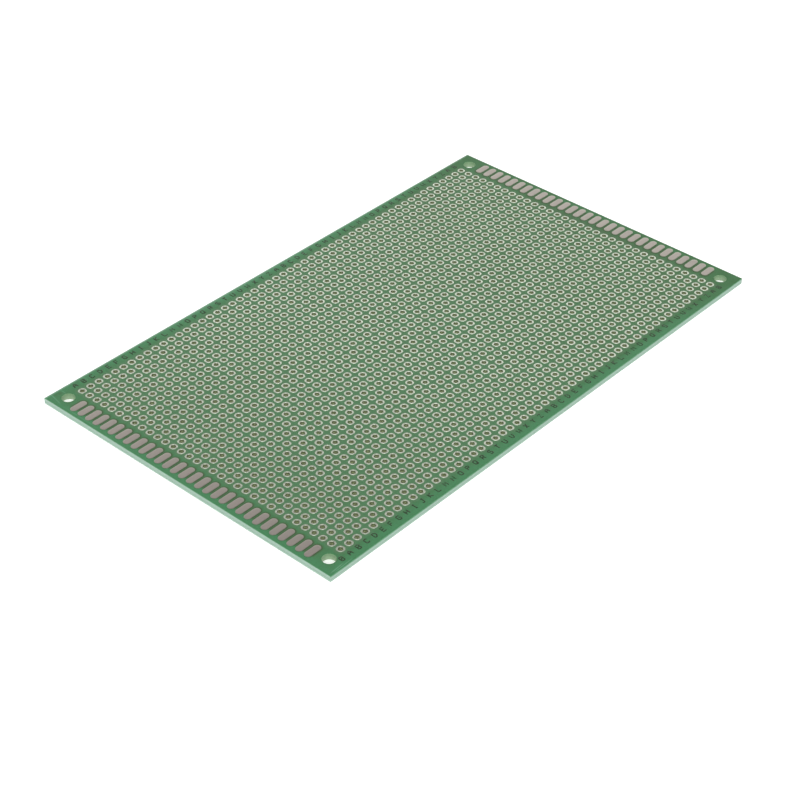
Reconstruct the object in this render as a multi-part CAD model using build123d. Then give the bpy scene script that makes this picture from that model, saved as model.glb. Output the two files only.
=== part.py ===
from build123d import *
from math import floor
import os

# A prototype circuit board: one drilled sheet of glass-epoxy laminate that carries tinned
# copper pads on its upper face. Millimetres. X runs along the long edges, Y across, Z up.
# The origin is the middle of the underside, the face that the board rests on.

# Sheet
board_length = 150.0
board_width = 90.0
board_thickness = 1.6

# Pin field: a square grid of drilled holes, each with a ring pad
pitch = 2.54                # a tenth of an inch
pin_hole_diameter = 1.0
ring_pad_gap = 0.54         # bare strip between neighbouring ring pads
letter_strip = 3.3          # long edge to the nearest ring pads, where the index letters are

# End pads: a row of oblong pads along each short edge
end_pad_length = 4.45
end_pad_gap = 0.79          # bare strip between neighbouring end pads
end_pad_inset = 1.0         # short edge to a pad's outer end
end_pad_clearance = 1.15    # a pad's inner end to the nearest ring pads, at least

# Mounting holes: one in each corner
mount_hole_diameter = 3.2   # clears an M3 screw
mount_inset_y = 4.0         # long edge to the hole's centre
mount_clearance = 1.6       # bare strip between a mounting hole and the end pads, at least

# Copper foil and its tin together
pad_height = 0.07

# Modelled pins: every so many columns and rows of the field, spread evenly over it
column_step = 3
row_step = 4

# Flat sides of the small repeated outlines, which stand in for circles
pin_hole_sides = 4
pad_sides = 6

# Pad sizes that the grid's pitch leaves room for
ring_pad_diameter = pitch - ring_pad_gap
end_pad_width = pitch - end_pad_gap

# As many columns and rows as fit between the end pads and between the letter strips
end_strip = end_pad_inset + end_pad_length + end_pad_clearance
end_margin = end_strip + ring_pad_diameter / 2
side_margin = letter_strip + ring_pad_diameter / 2
column_count = 1 + floor((board_length - 2 * end_margin) / pitch)
row_count = 1 + floor((board_width - 2 * side_margin) / pitch)

# Mounting holes stand midway between a short edge and the first column
mount_spacing_x = board_length - end_margin
mount_spacing_y = board_width - 2 * mount_inset_y

# As many end pads as fit between the two mounting holes of an end
end_pad_room = mount_spacing_y - mount_hole_diameter - 2 * mount_clearance
end_pad_count = 1 + floor((end_pad_room - end_pad_width) / pitch)
end_pad_x = board_length / 2 - end_pad_inset - end_pad_length / 2


def modelled_line(count, step):
    """How many of a line of pins are modelled, and how far their middle is from the line's."""
    steps, left_over = divmod(count - 1, step)
    return steps + 1, -pitch / 2 * (left_over % 2)


def pins():
    """Places of the modelled pins, each of them a place of the full field.

    The pins between them are like them, at the pitch both ways.
    """
    columns, middle_x = modelled_line(column_count, column_step)
    rows, middle_y = modelled_line(row_count, row_step)
    return Pos(middle_x, middle_y) * GridLocations(
        column_step * pitch, row_step * pitch, columns, rows
    )


def pin_hole():
    """Outline of a pin hole: a pin of the hole's diameter just passes between its flats."""
    half_side = 180 / pin_hole_sides
    return RegularPolygon(
        pin_hole_diameter / 2, pin_hole_sides, major_radius=False, rotation=half_side
    )


def round_pad(diameter):
    """Outline of a round pad, with its corners towards the short edges."""
    return RegularPolygon(diameter / 2, pad_sides, major_radius=False)


def ring_pad():
    """Outline of a ring pad round its pin hole."""
    return round_pad(ring_pad_diameter) - pin_hole()


def end_pad():
    """Outline of an oblong pad: a straight middle between two halves of a round pad."""
    pad_end = round_pad(end_pad_width)
    straight = end_pad_length - pad_end.bounding_box().size.X
    ends = GridLocations(straight, 0, 2, 1) * pad_end
    return Rectangle(straight, end_pad_width) + ends


def make_board():
    """The sheet, with its four mounting holes and the pin holes."""
    sheet = Rectangle(board_length, board_width)
    sheet -= GridLocations(mount_spacing_x, mount_spacing_y, 2, 2) * Circle(mount_hole_diameter / 2)
    sheet -= pins() * pin_hole()
    return extrude(sheet, board_thickness)


def lay_pads(places, outline):
    """A pad at each place, as a separate solid that lies on the sheet's upper face."""
    pad = Pos(0, 0, board_thickness) * extrude(outline, pad_height)
    return Compound(places * pad)


def make_ring_pads():
    """One tinned ring round each pin hole."""
    return lay_pads(pins(), ring_pad())


def make_end_pads(side):
    """The row of oblong pads along one short edge: side is -1 or 1 along X."""
    row = Pos(side * end_pad_x, 0) * GridLocations(pitch, pitch, 1, end_pad_count)
    return lay_pads(row, end_pad())


parts = {
    "board": make_board(),
    "ring_pads": make_ring_pads(),
    "left_end_pads": make_end_pads(-1),
    "right_end_pads": make_end_pads(1),
}

os.makedirs("parts", exist_ok=True)
for name, part in parts.items():
    export_step(part, f"parts/{name}.step")
    print(f"{name}: {len(part.solids())} solids, {part.volume:.2f} mm3")
print(f"field: {column_count} columns by {row_count} rows, {end_pad_count} pads at each end")
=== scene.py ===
# %% [markdown]
# # A prototype circuit board, dressed
#
# The board is a thin sheet of glass-epoxy laminate, coated green on its top and drilled on a
# square grid. Every pin hole has a ring of tinned copper, each short end has a row of oblong
# pads, and letters along both long edges name the columns.
#
# The frame that is loaded here holds the sheet, every third column and fourth row of the pins,
# and the end pads, at their real size. The lesson takes its sizes from them and then makes
# what the eye needs: the whole grid of holes, rounded tin, the letters and the finishes.

# %% Load the frame
import bpy
from math import cos, pi, radians, sin
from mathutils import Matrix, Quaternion, Vector


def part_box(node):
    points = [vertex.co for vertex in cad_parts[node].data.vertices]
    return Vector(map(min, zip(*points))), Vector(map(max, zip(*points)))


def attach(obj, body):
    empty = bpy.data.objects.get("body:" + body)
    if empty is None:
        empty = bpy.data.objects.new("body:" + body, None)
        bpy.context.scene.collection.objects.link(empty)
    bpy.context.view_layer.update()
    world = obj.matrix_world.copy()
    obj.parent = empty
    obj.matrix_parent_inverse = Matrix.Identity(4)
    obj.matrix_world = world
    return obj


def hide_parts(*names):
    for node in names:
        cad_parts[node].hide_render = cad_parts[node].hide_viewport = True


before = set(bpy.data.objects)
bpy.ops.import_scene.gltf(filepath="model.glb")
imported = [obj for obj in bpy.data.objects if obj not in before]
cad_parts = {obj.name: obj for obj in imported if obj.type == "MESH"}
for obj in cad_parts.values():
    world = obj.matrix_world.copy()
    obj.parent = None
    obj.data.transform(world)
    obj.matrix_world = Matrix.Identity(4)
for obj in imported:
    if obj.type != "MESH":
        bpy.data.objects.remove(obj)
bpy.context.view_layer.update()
print("the frame holds", sorted(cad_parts))

# %% [markdown]
# ## Sizes
#
# Blender works in metres here. The sheet, the height of the tin and the size of the rings and
# end pads are read from the frame, so that the lesson follows it. A size is typed in only
# where the frame can't show it as one number, such as the pitch. As many columns as fit
# between the two rows of end pads are drilled, and two rows fewer than the sheet has room
# for, which leaves a strip for the letters along each long edge.

# %% Sizes
MM = 0.001
PITCH = 2.54 * MM
PIN_HOLE_RADIUS = 0.5 * MM
BARE_RIM = 0.11 * MM
MOUNT_HOLE_RADIUS = 1.6 * MM
MOUNT_HOLE_PLACE = (71.2 * MM, 41.0 * MM)
SAME_PLACE = 0.01 * MM

sheet_low, sheet_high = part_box("board")
rings_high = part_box("ring_pads")[1]
left_low, left_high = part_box("left_end_pads")
right_low, right_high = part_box("right_end_pads")

TOP = sheet_high.z
THICKNESS = sheet_high.z - sheet_low.z
TIN_HEIGHT = rings_high.z - TOP
COLUMNS = int((right_low.x - left_high.x) / PITCH)
ROWS = int((sheet_high.y - sheet_low.y) / PITCH) - 2
LAST_PIN_X = (COLUMNS - 1) / 2 * PITCH
LAST_PIN_Y = (ROWS - 1) / 2 * PITCH
RING_RADIUS = rings_high.y - LAST_PIN_Y
RING_BORE = PIN_HOLE_RADIUS + BARE_RIM
FIRST_PIN = Vector((-LAST_PIN_X, -LAST_PIN_Y, TOP))
print(f"{COLUMNS} columns and {ROWS} rows make {COLUMNS * ROWS} pin holes")

# %% [markdown]
# ## The view
#
# The camera looks down on the near corner from about 46 cm, a little more than a third of the
# way up from flat. A long lens keeps the far end nearly as wide as the near one. Giving the
# turn, the rise and the distance of the camera from the point that it looks at is easier to
# check by eye than a position and three angles.

# %% Camera
VIEW_AIM = Vector((-20.61, -15.62, 1.72)) * MM
VIEW_TURN = radians(48.75)
VIEW_RISE = radians(37.12)
VIEW_ROLL = radians(0.787)
VIEW_REACH = 461.2 * MM
LENS = 90.54

towards_camera = Vector((
    -sin(VIEW_TURN) * cos(VIEW_RISE),
    -cos(VIEW_TURN) * cos(VIEW_RISE),
    sin(VIEW_RISE),
))
level = (-towards_camera).to_track_quat("-Z", "Y")
rolled = level @ Quaternion((0, 0, 1), VIEW_ROLL)
bpy.ops.object.select_all(action="DESELECT")
bpy.ops.object.camera_add(
    location=VIEW_AIM + towards_camera * VIEW_REACH, rotation=rolled.to_euler())
camera = bpy.context.object
camera.name = "camera"
camera.data.lens = LENS
bpy.context.scene.camera = camera
print("camera at", [round(value, 4) for value in camera.location])

# %% [markdown]
# ## Light and floor
#
# A board like this is shown on a white table in soft light from all around, with hardly a
# shadow. The world gives most of the light. It is bright near the horizon and dimmer
# overhead, so the tin is paler where the eye meets it at a lower angle, towards the far end.
# One large soft lamp behind the camera adds a little direction. The floor is pale and keeps
# the board's soft shadow. What the camera and the gloss see of it is lifted to white with
# Light Path, so that no extra light falls on the board. The lift stops short of the pins, so
# that the floor stays dark at the bottom of a pin hole.

# %% A helper that joins nodes
def connect(tree, value, socket):
    """Links a socket to a socket, or sets a plain number or colour on it."""
    if isinstance(value, bpy.types.NodeSocket):
        tree.links.new(value, socket)
    else:
        socket.default_value = value


def calc(tree, operation, *values):
    """A Math node that takes sockets and numbers alike."""
    node = tree.nodes.new("ShaderNodeMath")
    node.operation = operation
    for value, socket in zip(values, node.inputs):
        connect(tree, value, socket)
    return node.outputs[0]


def seen_directly(tree):
    """1 for the rays of the camera, of gloss and of glass, and 0 for the light."""
    path = tree.nodes.new("ShaderNodeLightPath")
    gloss = calc(
        tree, "MAXIMUM", path.outputs["Is Glossy Ray"], path.outputs["Is Transmission Ray"])
    return calc(tree, "MAXIMUM", path.outputs["Is Camera Ray"], gloss)

# %% World and lamp
HORIZON_LIGHT = 2.3
OVERALL_LIGHT = 0.4
FALL_OFF = 2.0
LAMP_PLACE = Vector((-0.75, -0.65, 1.35))
LAMP_WIDTH = 1.8
LAMP_POWER = 14.0

world = bpy.data.worlds.new("soft_room")
world.use_nodes = True
bpy.context.scene.world = world
sky = world.node_tree.nodes["Background"]
sky.inputs["Color"].default_value = (1, 1, 1, 1)
tree = world.node_tree
direction = tree.nodes.new("ShaderNodeSeparateXYZ")
connect(tree, tree.nodes.new("ShaderNodeTexCoord").outputs["Generated"], direction.inputs[0])
height = calc(tree, "MAXIMUM", direction.outputs["Z"], 0.0)
lowness = calc(tree, "POWER", calc(tree, "SUBTRACT", 1.0, height), FALL_OFF)
light = calc(tree, "MULTIPLY_ADD", lowness, HORIZON_LIGHT, OVERALL_LIGHT)
connect(tree, light, sky.inputs["Strength"])

bpy.ops.object.light_add(type="AREA", location=LAMP_PLACE)
lamp = bpy.context.object
lamp.name = "soft_lamp"
lamp.data.shape = "DISK"
lamp.data.size = LAMP_WIDTH
lamp.data.energy = LAMP_POWER
lamp.rotation_euler = (-LAMP_PLACE).to_track_quat("-Z", "Y").to_euler()
bpy.context.scene.view_settings.view_transform = "Standard"
print("lamp of", LAMP_POWER, "W")

# %% Floor
FLOOR_SIZE = 4.0
FLOOR_GAP = 0.02 * MM
FLOOR_GREY = 0.86
FLOOR_ROUGHNESS = 0.9
FLOOR_LIFT = 0.35

bpy.ops.object.select_all(action="DESELECT")
bpy.ops.mesh.primitive_plane_add(size=FLOOR_SIZE, location=(0, 0, sheet_low.z - FLOOR_GAP))
floor = bpy.context.object
floor.name = "floor"
paper = bpy.data.materials.new("white_paper")
paper.use_nodes = True
paper_shader = paper.node_tree.nodes["Principled BSDF"]
paper_shader.inputs["Base Color"].default_value = (FLOOR_GREY, FLOOR_GREY, FLOOR_GREY, 1)
paper_shader.inputs["Roughness"].default_value = FLOOR_ROUGHNESS
paper_shader.inputs["Emission Color"].default_value = (1, 1, 1, 1)
tree = paper.node_tree
spot = tree.nodes.new("ShaderNodeSeparateXYZ")
connect(tree, tree.nodes.new("ShaderNodeTexCoord").outputs["Object"], spot.inputs[0])
from_middle_x = calc(tree, "ABSOLUTE", spot.outputs["X"])
from_middle_y = calc(tree, "ABSOLUTE", spot.outputs["Y"])
past_ends = calc(tree, "GREATER_THAN", from_middle_x, LAST_PIN_X + PITCH / 2)
past_sides = calc(tree, "GREATER_THAN", from_middle_y, LAST_PIN_Y + PITCH / 2)
lifted = calc(tree, "MULTIPLY", seen_directly(tree), calc(tree, "MAXIMUM", past_ends, past_sides))
connect(tree, calc(tree, "MULTIPLY", lifted, FLOOR_LIFT), paper_shader.inputs["Emission Strength"])
floor.data.materials.append(paper)
print("the floor is", FLOOR_SIZE, "m wide")

# %% [markdown]
# ## The drilled sheet
#
# The real sheet is one piece with 1,782 pin holes. Cutting them one by one from a plane with
# booleans would be slow and leave ragged triangles. Instead one small square with a round hole
# in its middle is modelled, as big as the pitch, and two Array modifiers lay it out into the
# whole field, where its borders merge. The border that is left, with the four mounting holes
# in it, is one flat fill. Then the whole sheet is extruded to its thickness in one go, which
# makes the underside and the wall of every hole.

# %% One square of the grid
HOLE_SIDES = 16
CUTS = HOLE_SIDES // 4

bpy.ops.object.select_all(action="DESELECT")
bpy.ops.mesh.primitive_grid_add(
    x_subdivisions=CUTS, y_subdivisions=CUTS, size=PITCH, location=FIRST_PIN)
sheet = bpy.context.object
sheet.name = "drilled_sheet"
bpy.ops.object.mode_set(mode="EDIT")
bpy.ops.mesh.select_all(action="SELECT")
bpy.ops.mesh.region_to_loop()
bpy.ops.mesh.select_mode(type="VERT")
bpy.ops.mesh.select_all(action="INVERT")
bpy.ops.mesh.delete(type="VERT")
bpy.ops.mesh.primitive_circle_add(
    vertices=HOLE_SIDES, radius=PIN_HOLE_RADIUS, location=FIRST_PIN)
bpy.ops.mesh.select_all(action="SELECT")
bpy.ops.mesh.bridge_edge_loops()
bpy.ops.object.mode_set(mode="OBJECT")
print("one square has", len(sheet.data.polygons), "faces")

# %% Lay the square out over the grid
def array(piece, count, step, merge):
    """Repeats the piece in one direction and applies the modifier."""
    bpy.context.view_layer.objects.active = piece
    repeat = piece.modifiers.new("repeat", "ARRAY")
    repeat.count = count
    repeat.use_relative_offset = False
    repeat.use_constant_offset = True
    repeat.constant_offset_displace = step
    repeat.use_merge_vertices = merge
    repeat.merge_threshold = SAME_PLACE
    bpy.ops.object.modifier_apply(modifier=repeat.name)


array(sheet, COLUMNS, (PITCH, 0, 0), merge=True)
array(sheet, ROWS, (0, PITCH, 0), merge=True)
bpy.ops.object.transform_apply(location=True)
FIELD_X = COLUMNS / 2 * PITCH
FIELD_Y = ROWS / 2 * PITCH
print("the field has", len(sheet.data.polygons), "faces")

# %% Fill the border around the field
BROKEN_EDGE = 0.06 * MM
MOUNT_SIDES = 40
outline = (sheet_high.x - BROKEN_EDGE, sheet_high.y - BROKEN_EDGE)


def on_border(place):
    """True on the rim of the field and everywhere outside it."""
    return max(abs(place.x) - FIELD_X, abs(place.y) - FIELD_Y) > -SAME_PLACE


def select_edges(piece, test):
    """Goes to edit mode with the edges selected whose two ends both pass the test."""
    bpy.ops.object.mode_set(mode="EDIT")
    bpy.ops.mesh.select_mode(type="EDGE")
    bpy.ops.mesh.select_all(action="DESELECT")
    bpy.ops.object.mode_set(mode="OBJECT")
    ends = piece.data.vertices
    for edge in piece.data.edges:
        edge.select = all(test(ends[end].co) for end in edge.vertices)
    bpy.ops.object.mode_set(mode="EDIT")


bpy.ops.object.mode_set(mode="EDIT")
bpy.ops.mesh.primitive_plane_add(size=1, location=(0, 0, TOP))
bpy.ops.transform.resize(
    value=(outline[0] * 2, outline[1] * 2, 1), center_override=(0, 0, TOP))
bpy.ops.mesh.delete(type="ONLY_FACE")
for x in (-MOUNT_HOLE_PLACE[0], MOUNT_HOLE_PLACE[0]):
    for y in (-MOUNT_HOLE_PLACE[1], MOUNT_HOLE_PLACE[1]):
        bpy.ops.mesh.primitive_circle_add(
            vertices=MOUNT_SIDES, radius=MOUNT_HOLE_RADIUS, location=(x, y, TOP))
select_edges(sheet, on_border)
bpy.ops.mesh.fill(use_beauty=True)
bpy.ops.object.mode_set(mode="OBJECT")
print("with its border the flat sheet has", len(sheet.data.polygons), "faces")

# %% Give the sheet its thickness
bpy.ops.object.mode_set(mode="EDIT")
bpy.ops.mesh.select_mode(type="FACE")
bpy.ops.mesh.select_all(action="SELECT")
bpy.ops.mesh.extrude_region_move(TRANSFORM_OT_translate={"value": (0, 0, -THICKNESS)})
bpy.ops.mesh.select_all(action="SELECT")
bpy.ops.mesh.normals_make_consistent(inside=False)
bpy.ops.object.mode_set(mode="OBJECT")
print("the solid sheet has", len(sheet.data.polygons), "faces")

# %% [markdown]
# A cutter leaves the outline straight and nearly sharp. The sheet was filled a hair too small
# all round, so that its four outer walls can now be inset and pushed out by that hair, which
# leaves a fine broken edge at the top and the bottom.

# %% Break the outer edges
SHARP_SHEET = radians(35)


def select_faces(piece, test):
    """Goes to edit mode with the faces selected that pass the test."""
    bpy.ops.object.mode_set(mode="EDIT")
    bpy.ops.mesh.select_mode(type="FACE")
    bpy.ops.mesh.select_all(action="DESELECT")
    bpy.ops.object.mode_set(mode="OBJECT")
    for face in piece.data.polygons:
        face.select = test(face)
    bpy.ops.object.mode_set(mode="EDIT")


def on_outline(place):
    """True on the sheet's outer walls and their broken edges."""
    return abs(place.x) > outline[0] - SAME_PLACE or abs(place.y) > outline[1] - SAME_PLACE


def is_outer_wall(face):
    """True for an upright face on the sheet's outline."""
    return on_outline(face.center) and abs(face.normal.z) < 0.5


select_faces(sheet, is_outer_wall)
bpy.ops.mesh.inset(thickness=BROKEN_EDGE, depth=BROKEN_EDGE, use_even_offset=True)
bpy.ops.object.mode_set(mode="OBJECT")
bpy.ops.object.shade_smooth_by_angle(angle=SHARP_SHEET)
print("the sheet now measures", [round(side / MM, 3) for side in sheet.dimensions])

# %% [markdown]
# ## Finishes of the sheet
#
# Five finishes meet on this one piece. The top has green solder mask, a thin satin lacquer.
# It looks lighter over bare laminate and darker over copper, so a dark line hugs each end pad
# where the mask laps over the copper's rim, and a haze of dried flux lies round each pin hole.
# The underside is bare laminate, in which the glass cloth shows. The cut outline shows the
# cloth's layers, pale green and a little translucent. The walls of the pin holes are painted
# dark brown at their mouths, a painted shade under the rings, and light further down, a painted
# glow of light through the translucent laminate, and those of the mounting holes are greener.
#
# The lines and hazes could be painted as an image. Here they are worked out in the material,
# as the distance from each point of the board to the nearest pin, pad or edge, because the
# pads repeat so regularly that a few Math nodes find it, and all stays sharp at any size.

# %% Helpers for materials
def new_material(name, roughness, metallic=0.0):
    """A material with its node tree and its shader."""
    material = bpy.data.materials.new(name)
    material.use_nodes = True
    shader = material.node_tree.nodes["Principled BSDF"]
    shader.inputs["Roughness"].default_value = roughness
    shader.inputs["Metallic"].default_value = metallic
    return material, material.node_tree, shader


def object_axes(tree):
    """The point's place on the board, and its three parts."""
    place = tree.nodes.new("ShaderNodeTexCoord").outputs["Object"]
    split = tree.nodes.new("ShaderNodeSeparateXYZ")
    connect(tree, place, split.inputs[0])
    return place, split.outputs["X"], split.outputs["Y"], split.outputs["Z"]


def fade(tree, value, start, end):
    """0 before start, 1 after end, and a smooth rise between them."""
    node = tree.nodes.new("ShaderNodeMapRange")
    node.interpolation_type = "SMOOTHSTEP"
    connect(tree, value, node.inputs["Value"])
    node.inputs["From Min"].default_value = start
    node.inputs["From Max"].default_value = end
    return node.outputs["Result"]


def blend(tree, share, first, second):
    """The first colour where share is 0, and the second where it is 1."""
    node = tree.nodes.new("ShaderNodeMix")
    node.data_type = "RGBA"
    connect(tree, share, node.inputs["Factor"])
    for value, socket in ((first, node.inputs["A"]), (second, node.inputs["B"])):
        connect(tree, value if isinstance(value, bpy.types.NodeSocket) else (*value, 1), socket)
    return node.outputs["Result"]


def tint(tree, under, over, share, strength):
    """Lets one colour show over another where share is 1, as strongly as strength says."""
    return blend(tree, calc(tree, "MULTIPLY", share, strength), under, over)


def noise(tree, place, size, detail=2.0, stretch=(1, 1, 1)):
    """Cloudy noise whose lumps are about this size, in metres."""
    mapping = tree.nodes.new("ShaderNodeMapping")
    connect(tree, place, mapping.inputs["Vector"])
    mapping.inputs["Scale"].default_value = [part / size for part in stretch]
    node = tree.nodes.new("ShaderNodeTexNoise")
    connect(tree, mapping.outputs["Vector"], node.inputs["Vector"])
    node.inputs["Scale"].default_value = 1.0
    node.inputs["Detail"].default_value = detail
    return node.outputs["Fac"]


def bump(tree, height, depth, shader):
    """Raises the surface by up to this depth, in metres, where height is 1."""
    node = tree.nodes.new("ShaderNodeBump")
    node.inputs["Distance"].default_value = depth
    connect(tree, height, node.inputs["Height"])
    connect(tree, node.outputs["Normal"], shader.inputs["Normal"])

# %% Distance to the nearest pin, end pad and edge
END_PAD_CENTRE = (right_low.x + right_high.x) / 2
END_PAD_LENGTH = right_high.x - right_low.x
END_PAD_WIDTH = 1.75 * MM
END_PAD_COUNT = round((right_high.y - right_low.y) / PITCH)
LAST_END_PAD_Y = (END_PAD_COUNT - 1) / 2 * PITCH


def from_row(tree, value, last, offset):
    """How far a point is from the nearest of evenly spaced centres that end at last."""
    shifted = calc(tree, "SUBTRACT", value, offset)
    between = calc(tree, "PINGPONG", shifted, PITCH / 2)
    beyond = calc(tree, "SUBTRACT", calc(tree, "ABSOLUTE", value), last)
    return calc(tree, "MAXIMUM", between, beyond)


def length_of(tree, x, y):
    """The length of the flat vector (x, y)."""
    squares = calc(tree, "ADD", calc(tree, "MULTIPLY", x, x), calc(tree, "MULTIPLY", y, y))
    return calc(tree, "SQRT", squares)


def from_pin(tree, x, y):
    """How far a point is from the middle of the nearest pin hole."""
    across = from_row(tree, x, LAST_PIN_X, LAST_PIN_X)
    along = from_row(tree, y, LAST_PIN_Y, LAST_PIN_Y)
    return length_of(tree, across, along)


def from_end_pad(tree, x, y):
    """How far a point is outside the nearest end pad."""
    shifted = calc(tree, "SUBTRACT", calc(tree, "ABSOLUTE", x), END_PAD_CENTRE)
    straight = (END_PAD_LENGTH - END_PAD_WIDTH) / 2
    past_straight = calc(tree, "SUBTRACT", calc(tree, "ABSOLUTE", shifted), straight)
    pad_x = calc(tree, "MAXIMUM", past_straight, 0.0)
    pad_y = from_row(tree, y, LAST_END_PAD_Y, LAST_END_PAD_Y)
    return calc(tree, "SUBTRACT", length_of(tree, pad_x, pad_y), END_PAD_WIDTH / 2)


def from_edge(tree, x, y):
    """How far a point is inside the nearest edge of the board."""
    short = calc(tree, "SUBTRACT", sheet_high.x, calc(tree, "ABSOLUTE", x))
    long = calc(tree, "SUBTRACT", sheet_high.y, calc(tree, "ABSOLUTE", y))
    return calc(tree, "MINIMUM", short, long)


print(END_PAD_COUNT, "end pads at each end,", round(END_PAD_CENTRE / MM, 2), "mm from the middle")

# %% [markdown]
# ## Wear
#
# A board that has been handled is scuffed pale near its corners, where it is held and where
# it rubs on its neighbours in a stack, and the mask is darker in a few patches. Each mark
# could be drawn by hand as an image. Here it is a soft-edged stroke, given as its middle, its
# length, its width, its turn and its strength, so that it can be moved by changing one number.
# Lengths are in millimetres and turns in degrees from the X axis.

# %% Scuffs of handling
SCUFFS = (
    ((-73.3, 43.9), 2.6, 0.22, 80, 0.35),
    ((-70.5, 43.5), 2.0, 0.18, 88, 0.25),
    ((-73.6, 42.3), 4.2, 0.20, 78, 0.30),
    ((-63.6, 43.6), 2.2, 0.18, 90, 0.20),
    ((-74.2, 33.5), 13.0, 0.30, 90, 0.15),
    ((-12.0, 44.2), 70.0, 0.90, 0, 0.12),
    ((-72.2, -44.2), 5.0, 0.22, 3, 0.45),
    ((-70.8, -44.6), 6.5, 0.20, 2, 0.40),
)
DARK_PATCHES = (
    ((-71.4, 43.7), 1.6, 1.0, 10, 0.45),
    ((-72.5, 43.9), 1.2, 0.9, 60, 0.40),
    ((-66.5, 44.0), 2.4, 0.8, 5, 0.25),
    ((68.6, -6.0), 62.0, 0.9, 90, 0.45),
)


def stroke(tree, x, y, centre, length, width, turn):
    """1 in the middle of a soft-edged stroke, and 0 away from it."""
    right = calc(tree, "SUBTRACT", x, centre[0] * MM)
    up = calc(tree, "SUBTRACT", y, centre[1] * MM)
    to_x = cos(radians(turn))
    to_y = sin(radians(turn))
    along = calc(
        tree, "ADD", calc(tree, "MULTIPLY", right, to_x), calc(tree, "MULTIPLY", up, to_y))
    across = calc(
        tree, "SUBTRACT", calc(tree, "MULTIPLY", up, to_x), calc(tree, "MULTIPLY", right, to_y))
    inside_length = fade(tree, calc(tree, "ABSOLUTE", along), length * MM / 2, length * MM / 5)
    inside_width = fade(tree, calc(tree, "ABSOLUTE", across), width * MM, 0.0)
    return calc(tree, "MULTIPLY", inside_length, inside_width)


def strokes(tree, x, y, marks):
    """All the strokes of a list, the strongest at each point."""
    total = 0.0
    for centre, length, width, turn, strength in marks:
        mark = stroke(tree, x, y, centre, length, width, turn)
        total = calc(tree, "MAXIMUM", total, calc(tree, "MULTIPLY", mark, strength))
    return total


print(len(SCUFFS), "scuffs and", len(DARK_PATCHES), "dark patches")

# %% [markdown]
# ## Solder mask
#
# The mask is built up as a painter would glaze it: the green first, deeper towards the far
# end, then a pale border, clouds and a fine grain, then the haze round the pins, the dark laps
# between the end pads, the marks of handling, a painted highlight along the far edge and a
# painted shade on the bare rim round each pin hole. Each layer is a colour, a share that says
# where it shows and a strength. A pair of lengths says where a layer's share is 0 and where it is
# 1.

# %% Colours of the solder mask
MASK_GREEN = (0.045, 0.172, 0.063)
MASK_GREEN_FAR = (0.028, 0.132, 0.034)
MASK_GREEN_PALE = (0.044, 0.200, 0.078)
MASK_OVER_COPPER = (0.044, 0.086, 0.029)
MASK_SCUFF = (0.20, 0.42, 0.28)
FLUX_HAZE = (0.12, 0.175, 0.105)
LAMINATE_RIM_PAINTED_SHADE = (0.10, 0.105, 0.06)
FAR_EDGE_HIGHLIGHT = (0.36, 0.52, 0.42)
MASK_ROUGHNESS = 0.42
MASK_SHINE = 0.28
GRAIN_SIZE = 0.35 * MM
GRAIN_DEPTH = 0.004 * MM
GRAIN_SPAN = (0.35, 0.8)
GRAIN_STRENGTH = 0.3


def lacquer(name):
    """The satin green lacquer, with nothing but its gloss set."""
    material, tree, shader = new_material(name, MASK_ROUGHNESS)
    shader.inputs["Specular IOR Level"].default_value = MASK_SHINE
    return material, tree, shader


print("the mask is", MASK_GREEN, "near and", MASK_GREEN_FAR, "far")

# %% Green of the solder mask
DEEPENS = (-20 * MM, 75 * MM)
BORDER = (2.8 * MM, 1.0 * MM)
BORDER_FADES = (75 * MM, 40 * MM)
CLOUD_SIZE = 6 * MM
CLOUD_SPAN = (0.3, 0.7)
CLOUD_STRENGTH = 0.3

mask, tree, shader = lacquer("green_solder_mask")
place, x, y, z = object_axes(tree)
pin = from_pin(tree, x, y)
edge = from_edge(tree, x, y)
clouds = fade(tree, noise(tree, place, CLOUD_SIZE), *CLOUD_SPAN)
grain = noise(tree, place, GRAIN_SIZE, detail=3)
specks = fade(tree, grain, *GRAIN_SPAN)
bordering = fade(tree, edge, *BORDER)
green = blend(tree, fade(tree, x, *DEEPENS), MASK_GREEN, MASK_GREEN_FAR)
green = tint(tree, green, MASK_GREEN_PALE, bordering, fade(tree, x, *BORDER_FADES))
green = tint(tree, green, MASK_GREEN_PALE, clouds, CLOUD_STRENGTH)
green = tint(tree, green, MASK_OVER_COPPER, specks, GRAIN_STRENGTH)
bump(tree, grain, GRAIN_DEPTH, shader)
print("the green has", len(tree.nodes), "nodes")

# %% Haze, laps, wear, a painted highlight and a painted shade on the mask
HAZE = (1.95 * MM, 1.25 * MM)
HAZE_STRENGTH = 0.3
PAD_LAP = (0.72 * MM, 0.135 * MM)
LAP_STOPS = (1.4 * MM, 2.4 * MM)
LAP_STRENGTH = 0.85
EDGE_HIGHLIGHT_SPAN = (0.65 * MM, 0.2 * MM)
EDGE_HIGHLIGHT_STRENGTH = 0.4

green = tint(tree, green, FLUX_HAZE, fade(tree, pin, *HAZE), HAZE_STRENGTH)
pad_lap = fade(tree, from_end_pad(tree, x, y), *PAD_LAP)
between_pads = calc(tree, "MULTIPLY", fade(tree, edge, *LAP_STOPS), LAP_STRENGTH)
green = tint(tree, green, MASK_OVER_COPPER, pad_lap, between_pads)
green = blend(tree, strokes(tree, x, y, DARK_PATCHES), green, MASK_OVER_COPPER)
green = blend(tree, strokes(tree, x, y, SCUFFS), green, MASK_SCUFF)
# Painted highlight: the mask is tinted pale along the far long edge, for the light that its broken
# edge catches.
from_far_edge = calc(tree, "SUBTRACT", sheet_high.y, y)
green = tint(tree, green, FAR_EDGE_HIGHLIGHT, fade(tree, from_far_edge, *EDGE_HIGHLIGHT_SPAN), EDGE_HIGHLIGHT_STRENGTH)
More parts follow.
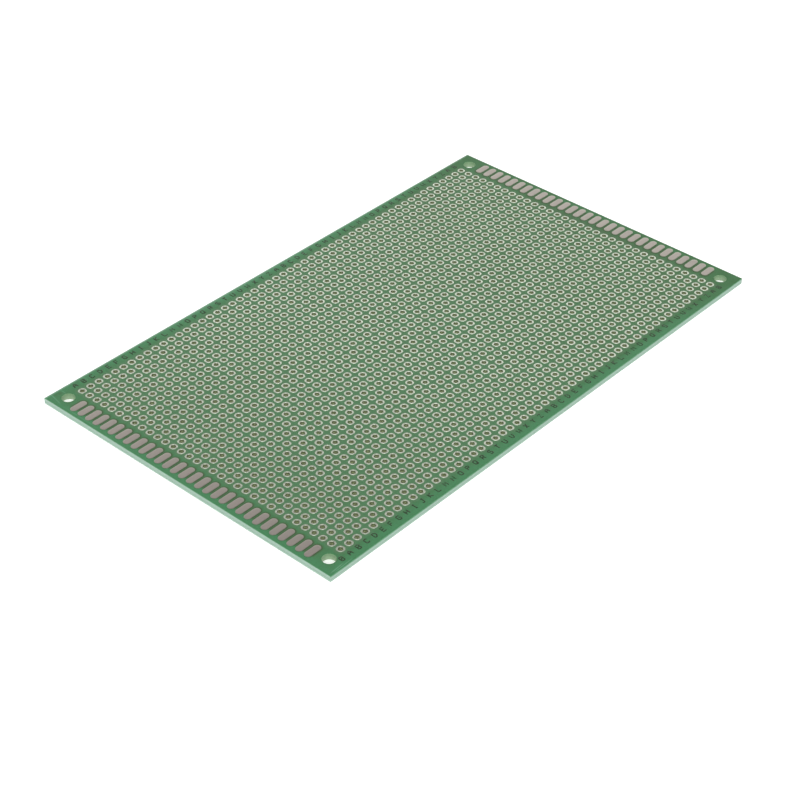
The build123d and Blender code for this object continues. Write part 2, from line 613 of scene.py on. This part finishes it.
# Painted shade: the bare rim round each pin hole is darkened for the shade under the ring's inner
# edge.
rim = fade(tree, pin, RING_BORE + BARE_RIM, RING_BORE)
connect(tree, blend(tree, rim, green, LAMINATE_RIM_PAINTED_SHADE), shader.inputs["Base Color"])
print("the whole mask has", len(tree.nodes), "nodes")

# %% [markdown]
# ## Bare laminate
#
# The underside has neither copper nor mask, so the cloth of glass threads shows through the
# resin. Two sets of humps that cross stand for its weave, which needs no image and repeats
# without a seam.

# %% Bare laminate of the underside
BARE_ROUGHNESS = 0.42
RESIN = (0.50, 0.56, 0.34)
RESIN_DEEP = (0.40, 0.47, 0.26)
CLOTH_THREAD = 0.5 * MM
CLOTH_DEPTH = 0.006 * MM
PATCH_SIZE = 9 * MM
PATCH_STRENGTH = 0.35


def thread(tree, along):
    """The round hump of one set of threads, from 0 to 1."""
    turn = calc(tree, "MULTIPLY", along, pi / CLOTH_THREAD)
    return calc(tree, "ABSOLUTE", calc(tree, "SINE", turn))


bare, tree, shader = new_material("bare_laminate", BARE_ROUGHNESS)
place, x, y, z = object_axes(tree)
weave = calc(tree, "MULTIPLY", thread(tree, x), thread(tree, y))
resin = blend(tree, fade(tree, weave, 0.0, 1.0), RESIN_DEEP, RESIN)
resin = tint(tree, resin, RESIN_DEEP, noise(tree, place, PATCH_SIZE), PATCH_STRENGTH)
connect(tree, resin, shader.inputs["Base Color"])
bump(tree, weave, CLOTH_DEPTH, shader)
print("the bare laminate has", len(tree.nodes), "nodes")

# %% [markdown]
# ## Cut edge
#
# Where the sheet was cut from its panel, the ends of the cloth's layers show as pale green
# bands, and a little of the mask ran over the rim. The bands could be modelled as layers, but
# they stand out by less than a hair's width, so they are drawn by height: a wandering darker
# line between two layers, with the frayed ends of threads as noise that is pressed flat.

# %% Cut edge of the laminate
CUT_ROUGHNESS = 0.55
EDGE_PALE = (0.278, 0.41, 0.33)
EDGE_LINE = (0.20, 0.31, 0.24)
EDGE_LIGHT = (0.36, 0.50, 0.41)
LINE_TOP = 0.75 * MM
LINE_WANDER = 0.35 * MM
LINE_BEND = 12 * MM
LINE_FADES = (0.22 * MM, 0.08 * MM)
LOWEST_LAYER = (0.05 * MM, -0.2 * MM)
LOWEST_STRENGTH = 0.4
FRAY_SIZE = 0.9 * MM
FRAY_SPAN = (0.25, 0.5)
FRAY_STRENGTH = 0.25
FRAY_DEPTH = 0.01 * MM
MASK_RUN_SHORT = 0.14 * MM
MASK_RUN_LONG = 0.54 * MM

cut, tree, shader = new_material("cut_edge", CUT_ROUGHNESS)
place, x, y, z = object_axes(tree)
wander = calc(tree, "MULTIPLY", noise(tree, place, LINE_BEND), LINE_WANDER)
from_line = calc(tree, "SUBTRACT", calc(tree, "ADD", z, wander), LINE_TOP)
frayed = noise(tree, place, FRAY_SIZE, detail=3, stretch=(1, 1, 6))
line = fade(tree, calc(tree, "ABSOLUTE", from_line), *LINE_FADES)
side = tint(tree, EDGE_PALE, EDGE_LIGHT, fade(tree, from_line, *LOWEST_LAYER), LOWEST_STRENGTH)
side = tint(tree, side, EDGE_LINE, line, fade(tree, frayed, *FRAY_SPAN))
side = tint(tree, side, EDGE_LIGHT, frayed, FRAY_STRENGTH)
bump(tree, frayed, FRAY_DEPTH, shader)
print("the layers of the cut edge have", len(tree.nodes), "nodes")

# %% Mask that ran over the cut edge
on_long_edge = calc(tree, "GREATER_THAN", calc(tree, "ABSOLUTE", y), sheet_high.y - BROKEN_EDGE)
mask_run = calc(
    tree, "MULTIPLY_ADD", on_long_edge, MASK_RUN_LONG - MASK_RUN_SHORT, MASK_RUN_SHORT)
share_of_run = calc(tree, "DIVIDE", calc(tree, "SUBTRACT", TOP, z), mask_run)
side = blend(tree, fade(tree, share_of_run, 1.0, 0.0), side, MASK_GREEN_PALE)
connect(tree, side, shader.inputs["Base Color"])
print("the whole cut edge has", len(tree.nodes), "nodes")

# %% [markdown]
# ## Walls of the holes
#
# A drill leaves the wall of a hole rough, with chips between the threads. A pin hole is painted
# dark at its mouth, a painted shade under the ring, and lighter deeper down, a painted glow of the
# light that comes through the translucent laminate. A mounting hole is larger and paler, and some
# green mask has settled inside its rim. Both finishes come from one recipe with other colours,
# heights and chips.

# %% Walls of the drilled holes
WALL_ROUGHNESS = 0.6
WALL_MOUTH_SHADE = (0.162, 0.198, 0.101)
WALL_TAN = (0.27, 0.29, 0.165)
WALL_GREEN = (0.50, 0.58, 0.31)
CHIP_STRENGTH = 0.25
ROUTED_GREEN = (0.18, 0.34, 0.18)
ROUTED_MINT = (0.43, 0.60, 0.40)


def hole_wall(name, colours, heights, chip_size, stretch):
    """Rough laminate that goes from one colour to another between two heights."""
    material, tree, shader = new_material(name, WALL_ROUGHNESS)
    place, x, y, z = object_axes(tree)
    chips = noise(tree, place, chip_size, detail=3, stretch=stretch)
    wall = blend(tree, fade(tree, z, *heights), *colours)
    connect(tree, tint(tree, wall, WALL_TAN, chips, CHIP_STRENGTH), shader.inputs["Base Color"])
    print(name, "with", len(tree.nodes), "nodes")
    return material


# Painted light and shade: the pin holes' walls go from a dark mouth to a light green deeper down.
drilled = hole_wall(
    "drilled_wall", (WALL_GREEN, WALL_MOUTH_SHADE), (TOP - 0.5 * MM, TOP - 0.25 * MM),
    chip_size=0.15 * MM, stretch=(1, 1, 1))
routed = hole_wall(
    "mounting_hole_wall", (ROUTED_MINT, ROUTED_GREEN), (0.2 * MM, TOP),
    chip_size=0.3 * MM, stretch=(1, 1, 3))

# %% [markdown]
# ## Finish of each face
#
# The sheet is one piece, so each face is told which of the five finishes it takes. Where a
# face is and which way it points decide that, and nothing has to be picked by hand.

# %% Give each face its finish
FINISHES = (mask, bare, cut, drilled, routed)


def finish_of(face):
    """Picks the finish of a face by where it is and which way it points."""
    place = face.center
    if on_outline(place) and abs(face.normal.z) < 0.9:
        return cut
    if face.normal.z > 0.5:
        return mask
    if face.normal.z < -0.5:
        return bare
    return routed if abs(place.x) > FIELD_X else drilled


for finish in FINISHES:
    sheet.data.materials.append(finish)
counts = [0] * len(FINISHES)
for face in sheet.data.polygons:
    face.material_index = FINISHES.index(finish_of(face))
    counts[face.material_index] += 1
print("faces of each finish:", dict(zip((finish.name for finish in FINISHES), counts)))

# %% [markdown]
# ## Ring pads
#
# Each pin hole has a ring of copper that was dipped in tin. The molten tin pulled itself into
# a low dome, so the ring has soft shoulders. One ring is shaped from a disc: an inset cuts out
# its middle, an extrude gives it height, and the two rims of its top are drawn together a
# little. It stays as light as it can, 64 faces, because it is laid out 1,782 times. The rings
# are made as two pieces, one for each half of the board, to keep each one's mesh moderate.

# %% One ring
RING_SHOULDER = 0.09 * MM
SHARP_RING = radians(25)


def is_up(face):
    """True for a face that points straight up."""
    return face.normal.z > 0.9


bpy.ops.object.select_all(action="DESELECT")
bpy.ops.mesh.primitive_circle_add(
    vertices=HOLE_SIDES, radius=RING_RADIUS, fill_type="NGON", location=FIRST_PIN)
ring = bpy.context.object
ring.name = "left_ring_pads"
bpy.ops.object.mode_set(mode="EDIT")
bpy.ops.mesh.inset(thickness=RING_RADIUS - RING_BORE, use_even_offset=False)
bpy.ops.mesh.delete(type="FACE")
bpy.ops.mesh.select_all(action="SELECT")
bpy.ops.mesh.extrude_region_move(TRANSFORM_OT_translate={"value": (0, 0, TIN_HEIGHT)})
bpy.ops.mesh.select_all(action="SELECT")
bpy.ops.mesh.normals_make_consistent(inside=False)
middle = (RING_RADIUS + RING_BORE) / 2
for test, old, new in (
    (lambda place: place.xy.length > middle, RING_RADIUS, RING_RADIUS - RING_SHOULDER),
    (lambda place: place.xy.length < middle, RING_BORE, RING_BORE + RING_SHOULDER),
):
    select_edges(ring, lambda place: test(place) and place.z > TIN_HEIGHT / 2)
    bpy.ops.transform.resize(value=(new / old, new / old, 1), center_override=FIRST_PIN)
bpy.ops.object.mode_set(mode="OBJECT")
bpy.ops.object.shade_smooth_by_angle(angle=SHARP_RING)
print("one ring has", len(ring.data.polygons), "faces")

# %% Lay out the rings
array(ring, COLUMNS // 2, (PITCH, 0, 0), merge=False)
array(ring, ROWS, (0, PITCH, 0), merge=False)
bpy.ops.object.transform_apply(location=True)
other_half = ring.copy()
other_half.data = ring.data.copy()
other_half.name = "right_ring_pads"
bpy.context.collection.objects.link(other_half)
bpy.ops.object.select_all(action="DESELECT")
other_half.select_set(True)
bpy.context.view_layer.objects.active = other_half
bpy.ops.transform.translate(value=(COLUMNS // 2 * PITCH, 0, 0))
bpy.ops.object.transform_apply(location=True)
print("each half has", len(ring.data.polygons), "faces")

# %% [markdown]
# ## End pads
#
# The oblong pads at the short ends take edge connectors and wires. Each one is a rounded bar
# of tin on copper: a plane whose four corners are bevelled round, raised to its height, with
# its top rim drawn in so that it has the same soft shoulders as the rings.

# %% One end pad and its rows
PAD_SHOULDER = 0.18 * MM
PAD_WALL = 0.7 * TIN_HEIGHT
PAD_CORNER = 0.49 * END_PAD_WIDTH
CORNER_FACETS = 6
SHARP_PAD = radians(6)


def end_pad_row(name, low, high):
    """The row of pads at one short end, from a single pad at its near corner."""
    centre = Vector(((low.x + high.x) / 2, low.y + END_PAD_WIDTH / 2, TOP))
    bpy.ops.object.select_all(action="DESELECT")
    bpy.ops.mesh.primitive_plane_add(size=1, location=centre)
    pad = bpy.context.object
    pad.name = name
    bpy.ops.object.mode_set(mode="EDIT")
    bpy.ops.transform.resize(value=(END_PAD_LENGTH, END_PAD_WIDTH, 1), center_override=centre)
    bpy.ops.mesh.bevel(offset=PAD_CORNER, segments=CORNER_FACETS, affect="VERTICES")
    bpy.ops.mesh.select_all(action="SELECT")
    bpy.ops.mesh.extrude_region_move(TRANSFORM_OT_translate={"value": (0, 0, PAD_WALL)})
    bpy.ops.mesh.select_all(action="SELECT")
    bpy.ops.mesh.normals_make_consistent(inside=False)
    select_faces(pad, is_up)
    bpy.ops.mesh.inset(thickness=PAD_SHOULDER, depth=TIN_HEIGHT - PAD_WALL)
    bpy.ops.object.mode_set(mode="OBJECT")
    bpy.ops.object.shade_smooth_by_angle(angle=SHARP_PAD)
    array(pad, END_PAD_COUNT, (0, PITCH, 0), merge=False)
    bpy.ops.object.transform_apply(location=True)
    print(name, "has", len(pad.data.polygons), "faces")
    return pad


left_pads = end_pad_row("left_end_pad_row", left_low, left_high)
right_pads = end_pad_row("right_end_pad_row", right_low, right_high)

# %% [markdown]
# ## Tinned copper
#
# Dull tin is a metal that scatters what it reflects. Its flat tops look warm grey, and its
# shoulders, which catch the light from the side, look paler, which is painted into their colour.
# The rings' tin is painted paler than the pads', a painted reflection of the light that their
# small domes gather from all round. Faint clouds of tarnish and the grain of the dipped tin keep
# one pad from looking like the next. The tin is painted darker at the near end, a painted shade
# for its dimmer reflections there, and that shade fades out slantwise towards the far end.

# %% Dull tin
TIN_WARM = (0.458, 0.398, 0.364)
PAD_TIN_TARNISH_AND_SHADE = (0.30, 0.262, 0.238)
TIN_PALE = (0.66, 0.72, 0.585)
RING_TIN_TARNISH_AND_SHADE = (0.285, 0.305, 0.25)
TIN_RIM = (0.56, 0.62, 0.52)
PAD_RIM = (0.42, 0.49, 0.38)
TIN_ROUGHNESS = 0.36
TIN_METALLIC = 0.9
TARNISH_SIZE = 3 * MM
TARNISH_SPAN = (0.4, 0.75)
TARNISH_STRENGTH = 0.2
TIN_GRAIN = 0.25 * MM
TIN_GRAIN_DEPTH = 0.004 * MM
TIN_GRAIN_STRENGTH = 0.25
SHOULDER = (TOP + TIN_HEIGHT, TOP + TIN_HEIGHT * 0.6)
# Where the painted shade of the near end starts and ends, along a slanted line.
NEAR_END_SHADE = (10 * MM, -110 * MM)
NEAR_END_SHADE_SLANT = 0.5
NEAR_END_SHADE_STRENGTH = 0.7


def dull_tin(name, top, tarnish_and_shade, rim):
    """Tin with a colour on its flat top, one for tarnish and the painted shade of the near end,
    and one painted on its shoulders.
    """
    material, tree, shader = new_material(name, TIN_ROUGHNESS, TIN_METALLIC)
    place, x, y, z = object_axes(tree)
    tarnish = fade(tree, noise(tree, place, TARNISH_SIZE, detail=3), *TARNISH_SPAN)
    grain = noise(tree, place, TIN_GRAIN, detail=4)
    slantwise = calc(tree, "ADD", x, calc(tree, "MULTIPLY", y, NEAR_END_SHADE_SLANT))
    colour = tint(tree, top, tarnish_and_shade, tarnish, TARNISH_STRENGTH)
    colour = tint(tree, colour, rim, grain, TIN_GRAIN_STRENGTH)
    # Painted highlight: the shoulders take a colour of their own for the light that they catch
    # from the side.
    colour = blend(tree, fade(tree, z, *SHOULDER), colour, rim)
    # Painted shade: the tin darkens towards the near end, for the dimmer reflections there.
    colour = tint(tree, colour, tarnish_and_shade, fade(tree, slantwise, *NEAR_END_SHADE), NEAR_END_SHADE_STRENGTH)
    connect(tree, colour, shader.inputs["Base Color"])
    bump(tree, grain, TIN_GRAIN_DEPTH, shader)
    print(name, "with", len(tree.nodes), "nodes")
    return material


pad_tin = dull_tin("pad_tin", TIN_WARM, PAD_TIN_TARNISH_AND_SHADE, PAD_RIM)
# The rings' tin is paler than the pads', a painted reflection of the light that their small domes
# gather from all round.
ring_tin = dull_tin("ring_tin", TIN_PALE, RING_TIN_TARNISH_AND_SHADE, TIN_RIM)
for piece in (left_pads, right_pads):
    piece.data.materials.append(pad_tin)
for piece in (ring, other_half):
    piece.data.materials.append(ring_tin)

# %% [markdown]
# ## Column letters
#
# The letters are etched into the same copper as the pads and lie under the mask, so they show
# as low dark ridges. A drafting font draws each letter with a few single strokes of one pen.
# Each stroke is typed as points on a small grid, five wide and seven high: the first digit
# counts to the right and the second counts up. A curve with a round bevel follows the strokes,
# is made a mesh and then flattened, so that half of it sinks into the mask.

# %% The strokes of each letter
STROKES = {
    "A": "00 04 26 44 40, 03 43",
    "B": "00 06 36 45 44 33 42 41 30 00, 03 33",
    "C": "41 30 10 01 05 16 36 45",
    "D": "00 06 26 44 42 20 00",
    "E": "40 00 06 46, 03 33",
    "F": "00 06 46, 03 33",
    "G": "45 36 16 05 01 10 30 41 43 23",
    "H": "00 06, 40 46, 03 43",
    "I": "10 30, 20 26, 16 36",
    "J": "01 10 20 31 36, 26 46",
    "K": "00 06, 46 03 40",
    "L": "06 00 40",
    "M": "00 06 23 46 40",
    "N": "00 06 40 46",
    "O": "10 01 05 16 36 45 41 30 10",
    "P": "00 06 36 45 44 33 03",
    "Q": "10 01 05 16 36 45 42 20 10, 22 40",
    "R": "00 06 36 45 44 33 03, 23 40",
    "S": "01 10 30 41 42 33 13 04 05 16 36 45",
    "T": "20 26, 06 46",
    "U": "06 01 10 30 41 46",
    "V": "06 02 20 42 46",
    "W": "06 00 23 40 46",
    "X": "00 46, 06 40",
    "Y": "06 23 46, 23 20",
    "Z": "06 46 00 40",
    "0": "10 01 05 16 36 45 41 30 10, 12 34",
}
GRID_ACROSS = 4
GRID_UP = 6
LETTER_WIDTH = 0.84 * MM
LETTER_HEIGHT = 1.26 * MM
PEN_WIDTH = 0.34 * MM
RIDGE_HEIGHT = 0.025 * MM
FAR_LETTERS_AT = (-LAST_PIN_X + 0.2 * MM, 43.35 * MM)
NEAR_LETTERS_AT = (-LAST_PIN_X - PITCH + 0.45 * MM, -42.95 * MM)


def draw(letter):
    """One letter as a low ridge, centred on the origin."""
    curve = bpy.data.curves.new("strokes", "CURVE")
    curve.dimensions = "3D"
    curve.bevel_depth = PEN_WIDTH / 2
    curve.bevel_resolution = 1
    curve.use_fill_caps = True
    for stroke in STROKES[letter].split(", "):
        points = stroke.split()
        spline = curve.splines.new("POLY")
        spline.points.add(len(points) - 1)
        for point, (across, up) in zip(spline.points, points):
            point.co.x = (int(across) / GRID_ACROSS - 0.5) * LETTER_WIDTH
            point.co.y = (int(up) / GRID_UP - 0.5) * LETTER_HEIGHT
            point.co.w = 1
    piece = bpy.data.objects.new("letter_" + letter, curve)
    bpy.context.collection.objects.link(piece)
    bpy.ops.object.select_all(action="DESELECT")
    piece.select_set(True)
    bpy.context.view_layer.objects.active = piece
    bpy.ops.object.convert(target="MESH")
    bpy.ops.object.mode_set(mode="EDIT")
    bpy.ops.mesh.select_all(action="SELECT")
    flatter = RIDGE_HEIGHT / (PEN_WIDTH / 2)
    bpy.ops.transform.resize(value=(1, 1, flatter), center_override=(0, 0, 0))
    bpy.ops.mesh.normals_make_consistent(inside=False)
    bpy.ops.object.mode_set(mode="OBJECT")
    return piece


alphabet = {letter: draw(letter) for letter in STROKES}
faces = [len(piece.data.polygons) for piece in alphabet.values()]
print("the letters have", min(faces), "to", max(faces), "faces each")

# %% Set the letters along both long edges
def letter_row(name, text, start):
    """One row of letters from its first place, a pitch apart, joined into one piece."""
    first_x, y = start
    bpy.ops.object.select_all(action="DESELECT")
    for number, letter in enumerate(text):
        piece = alphabet[letter].copy()
        piece.data = alphabet[letter].data.copy()
        piece.location = (first_x + number * PITCH, y, TOP)
        bpy.context.collection.objects.link(piece)
        piece.select_set(True)
        bpy.context.view_layer.objects.active = piece
    bpy.ops.object.join()
    row = bpy.context.object
    row.name = name
    bpy.ops.object.transform_apply(location=True)
    print(name, "reads", text)
    return row


letters = "ABCDEFGHIJKLMNOPQRSTUVWXYZ"
column_names = "".join(letters[column % len(letters)] for column in range(COLUMNS))
far_letters = letter_row("far_letters", column_names, FAR_LETTERS_AT)
near_letters = letter_row("near_letters", "0" + column_names, NEAR_LETTERS_AT)
for piece in alphabet.values():
    bpy.data.objects.remove(piece)

# %% Mask over the copper of the letters
LETTER_DARK = (0.012, 0.038, 0.013)

etched, tree, shader = lacquer("mask_over_copper")
place, x, y, z = object_axes(tree)
grain = noise(tree, place, GRAIN_SIZE, detail=3)
dark = tint(tree, LETTER_DARK, MASK_OVER_COPPER, grain, GRAIN_STRENGTH)
connect(tree, dark, shader.inputs["Base Color"])
print("the letters' finish has", len(tree.nodes), "nodes")
for piece in (far_letters, near_letters):
    piece.data.materials.append(etched)

# %% [markdown]
# ## Ride with the frame
#
# Every piece is tied to the one body of the frame, and the frame's solid that it stands for is
# hidden. The table gives each piece, that solid and its finish.

# %% Tie the pieces to the frame
DRESSING = (
    (sheet, "board", "laminate"),
    (near_letters, "board", "laminate"),
    (far_letters, "board", "laminate"),
    (ring, "ring_pads", "tinned_copper"),
    (other_half, "ring_pads", "tinned_copper"),
    (left_pads, "left_end_pads", "tinned_copper"),
    (right_pads, "right_end_pads", "tinned_copper"),
)
for piece, node, finish in DRESSING:
    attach(piece, "root")
    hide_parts(node)
print(len(DRESSING), "pieces ride on the board")
